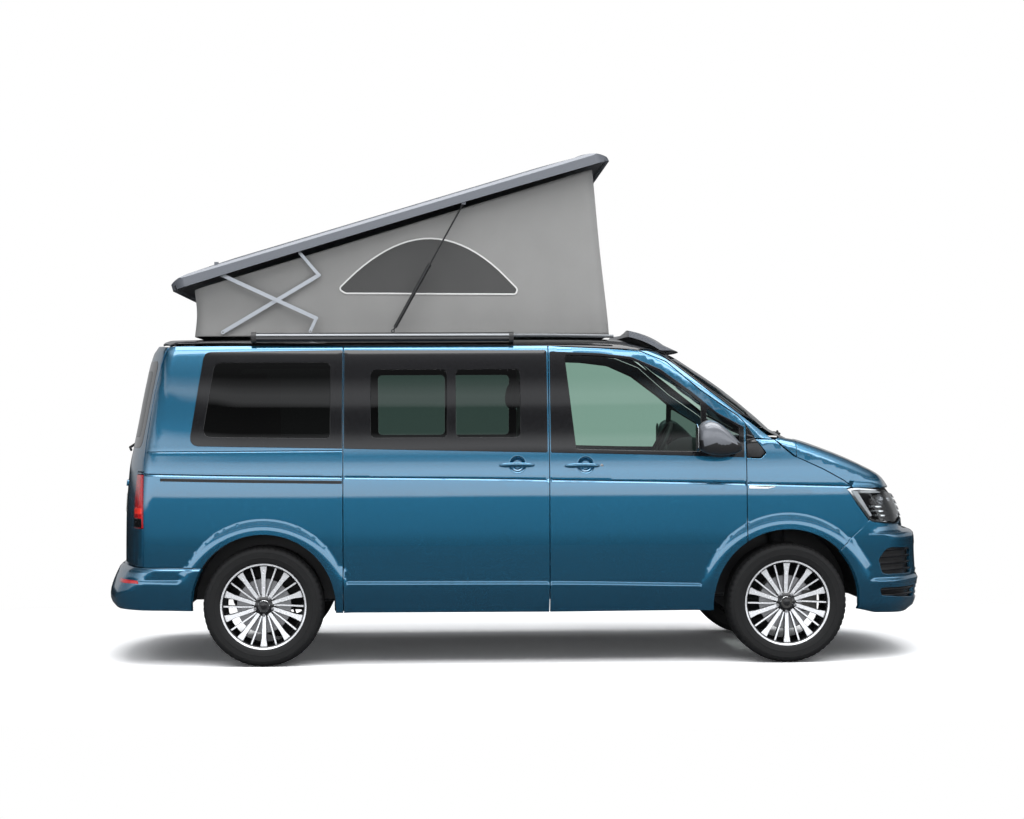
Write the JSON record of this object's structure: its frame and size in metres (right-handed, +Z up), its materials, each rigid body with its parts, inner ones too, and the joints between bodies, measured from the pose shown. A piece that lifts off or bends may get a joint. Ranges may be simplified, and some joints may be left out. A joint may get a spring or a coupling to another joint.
{
  "type": "camper van with a raised pop-top roof",
  "caption": "Short camper van with a slanted pop-top roof raised on its canvas bellows, glazed sides, opening front doors, bonnet and tailgate, and steered front wheels.",
  "frame": {"origin": "on the ground, at the centre of the overall length and width", "axes": "+X towards the front, +Y towards the vehicle's left, +Z up"},
  "size_m": [4.904, 2.2966, 2.9549],
  "materials": {
    "paint_blue": "metallic gloss",
    "glass": "clear, green tint",
    "black_trim": "fine grain",
    "black_gloss": "gloss",
    "lamp_clear": "clear cover over a bright reflector",
    "lamp_red": "clear red",
    "roof_grey": "satin",
    "canvas": "coated weave",
    "bar_metal": "satin",
    "strut_black": "satin",
    "tyre": "matte",
    "rim": "machined faces over dark pockets",
    "iron": "rough",
    "underbody": "matte sealer",
    "seat_cloth": "woven",
    "cabin_plastic": "grained",
    "cabinet": "laminate",
    "case_silver": "anodised"
  },
  "bodies": {
    "van_body": {"body_shell": "paint_blue", "floor_pan": "underbody", "front_wings": "paint_blue", "cowl_panel": "black_trim", "headlamps": "lamp_clear", "front_grille": "black_gloss", "front_panel": "cabin_plastic", "front_bumper": "paint_blue", "rear_bumper": "paint_blue", "tail_lamps": "lamp_red", "windscreen": "glass", "side_glass": "glass", "sliding_door": "paint_blue", "wheel_arch_liners": "black_trim", "dashboard": "cabin_plastic", "steering_wheel": "cabin_plastic", "front_seats": "seat_cloth", "rear_bench": "seat_cloth", "kitchen_cabinet": "cabinet", "front_subframe": "underbody", "rear_subframe": "underbody", "engine_block": "iron", "exhaust": "bar_metal", "fuel_tank": "black_trim", "awning_case": "case_silver", "roof_rails": "case_silver", "wind_deflector": "roof_grey", "pop_top_canvas": "canvas"},
    "bonnet": {"bonnet": "paint_blue"},
    "tailgate": {"tailgate": "paint_blue", "tailgate_glass": "glass"},
    "pop_roof": {"pop_top_shell": "roof_grey"},
    "scissor_arm": {"scissor_arms": "bar_metal"},
    "scissor_brace": {"scissor_braces": "bar_metal"},
    "scissor_top_link": {"scissor_top_links": "bar_metal"},
    "scissor_foot_link": {"scissor_foot_links": "bar_metal"},
    "strut_barrel": {"strut_barrels": "strut_black"},
    "strut_rod": {"strut_rods": "strut_black"},
    "front_door_right": {"front_door_right": "paint_blue", "front_door_glass_right": "glass", "mirror_right": "paint_blue"},
    "knuckle_right": {"knuckle_right": "iron"},
    "wheel_front_right": {"tyre_front_right": "tyre", "rim_front_right": "rim"},
    "wheel_rear_right": {"tyre_rear_right": "tyre", "rim_rear_right": "rim"},
    "front_door_left": {"front_door_left": "paint_blue", "front_door_glass_left": "glass", "mirror_left": "paint_blue"},
    "knuckle_left": {"knuckle_left": "iron"},
    "wheel_front_left": {"tyre_front_left": "tyre", "rim_front_left": "rim"},
    "wheel_rear_left": {"tyre_rear_left": "tyre", "rim_rear_left": "rim"}
  },
  "joints": [
    {"name": "roof_lower", "type": "hinge", "parent": "van_body", "child": "pop_roof", "pos_m": [-2.8985, 0, 2.08], "axis": [0, 1, 0], "range_deg": [0, 16.6], "deforming": ["pop_top_canvas"]},
    {"name": "scissor_arm_fold", "type": "hinge", "parent": "van_body", "child": "scissor_arm", "pos_m": [-1.71, 0, 1.918], "axis": [0, 1, 0], "range_deg": [0, 30.96]},
    {"name": "scissor_top_link_fold", "type": "hinge", "parent": "scissor_arm", "child": "scissor_top_link", "pos_m": [-1.15, 0, 2.251], "axis": [0, 1, 0], "range_deg": [-84.71, 0]},
    {"name": "scissor_brace_fold", "type": "hinge", "parent": "pop_roof", "child": "scissor_brace", "pos_m": [-1.74, 0, 2.264], "axis": [0, 1, 0], "range_deg": [-43.25, 0]},
    {"name": "scissor_foot_link_fold", "type": "hinge", "parent": "van_body", "child": "scissor_foot_link", "pos_m": [-1.2, 0, 1.922], "axis": [0, 1, 0], "range_deg": [0, 52.05]},
    {"name": "strut_swing", "type": "hinge", "parent": "van_body", "child": "strut_barrel", "pos_m": [-0.718, 0, 1.921], "axis": [0, 1, 0], "range_deg": [0, 63.29]},
    {"name": "strut_extend", "type": "slide", "parent": "strut_barrel", "child": "strut_rod", "axis": [0.4856, 0, 0.8742], "range_m": [-0.37985, 0]},
    {"name": "front_door_right_hinge", "type": "hinge", "parent": "van_body", "child": "front_door_right", "pos_m": [1.293, -0.944, 0.76], "axis": [0, 0.0523, 0.9986], "range_deg": [0, 65]},
    {"name": "steer_right", "type": "hinge", "parent": "van_body", "child": "knuckle_right", "pos_m": [1.544, -0.78, 0.343], "axis": [0, 0, 1], "range_deg": [-35, 35]},
    {"name": "wheel_front_right_spin", "type": "hinge", "parent": "knuckle_right", "child": "wheel_front_right", "pos_m": [1.544, -0.814, 0.343], "axis": [0, 1, 0], "continuous": true},
    {"name": "wheel_rear_right_spin", "type": "hinge", "parent": "van_body", "child": "wheel_rear_right", "pos_m": [-1.456, -0.814, 0.343], "axis": [0, 1, 0], "continuous": true},
    {"name": "front_door_left_hinge", "type": "hinge", "parent": "van_body", "child": "front_door_left", "pos_m": [1.293, 0.944, 0.76], "axis": [0, 0.0523, -0.9986], "range_deg": [0, 65]},
    {"name": "steer_left", "type": "hinge", "parent": "van_body", "child": "knuckle_left", "pos_m": [1.544, 0.78, 0.343], "axis": [0, 0, 1], "range_deg": [-35, 35]},
    {"name": "wheel_front_left_spin", "type": "hinge", "parent": "knuckle_left", "child": "wheel_front_left", "pos_m": [1.544, 0.814, 0.343], "axis": [0, 1, 0], "continuous": true},
    {"name": "wheel_rear_left_spin", "type": "hinge", "parent": "van_body", "child": "wheel_rear_left", "pos_m": [-1.456, 0.814, 0.343], "axis": [0, 1, 0], "continuous": true},
    {"name": "bonnet_hinge", "type": "hinge", "parent": "van_body", "child": "bonnet", "pos_m": [1.44, 0, 1.3], "axis": [0, -1, 0], "range_deg": [0, 45]},
    {"name": "tailgate_hinge", "type": "hinge", "parent": "van_body", "child": "tailgate", "pos_m": [-2.023, 0, 1.884], "axis": [0, 1, 0], "range_deg": [0, 85]}
  ],
  "couplings": [
    {"joint": "scissor_arm_fold", "follows": "roof_lower", "ratio": 1.8622},
    {"joint": "scissor_top_link_fold", "follows": "roof_lower", "ratio": -5.1002},
    {"joint": "scissor_brace_fold", "follows": "roof_lower", "ratio": -2.6025},
    {"joint": "scissor_foot_link_fold", "follows": "roof_lower", "ratio": 3.1327},
    {"joint": "strut_swing", "follows": "roof_lower", "ratio": 3.8095},
    {"joint": "strut_extend", "follows": "roof_lower", "m_per_rad": -1.3093},
    {"joint": "steer_left", "follows": "steer_right", "ratio": 1}
  ]
}
